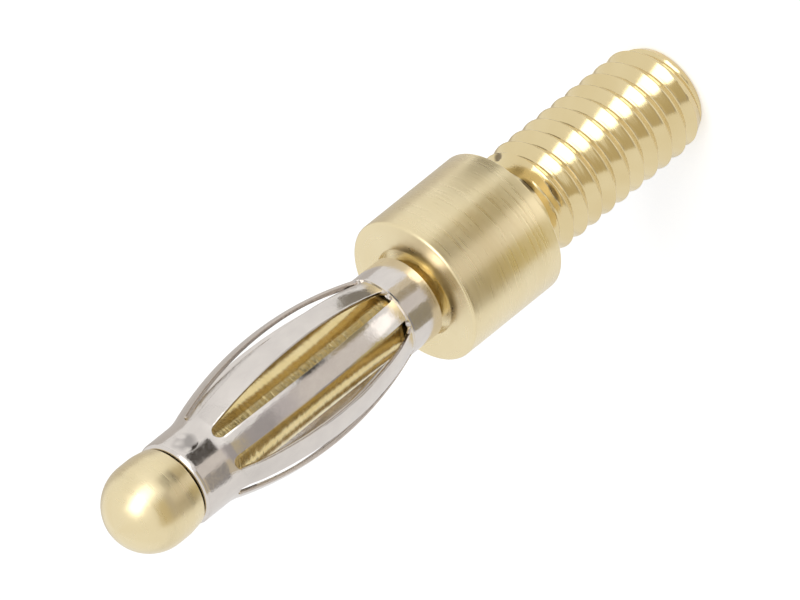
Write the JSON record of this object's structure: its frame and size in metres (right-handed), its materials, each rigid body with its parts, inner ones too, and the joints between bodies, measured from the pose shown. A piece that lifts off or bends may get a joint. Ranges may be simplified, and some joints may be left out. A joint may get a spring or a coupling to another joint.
{
  "type": "banana plug",
  "caption": "Banana plug with a bowed spring cage on a ball-nosed pin, a plain round collar and a threaded stud.",
  "frame": {"origin": "centre of the collar's rear face, where the threaded stud leaves it", "axes": "+Z along the plug's axis towards the ball nose; +X and +Y across it, with a leaf of the cage on each of them"},
  "size_m": [0.0054, 0.0054, 0.0272],
  "materials": {
    "plug": "satin, plated pale gold",
    "cage": "bright nickel plating"
  },
  "bodies": {
    "root": {"plug_body": "plug", "spring_cage": "cage"}
  },
  "joints": []
}
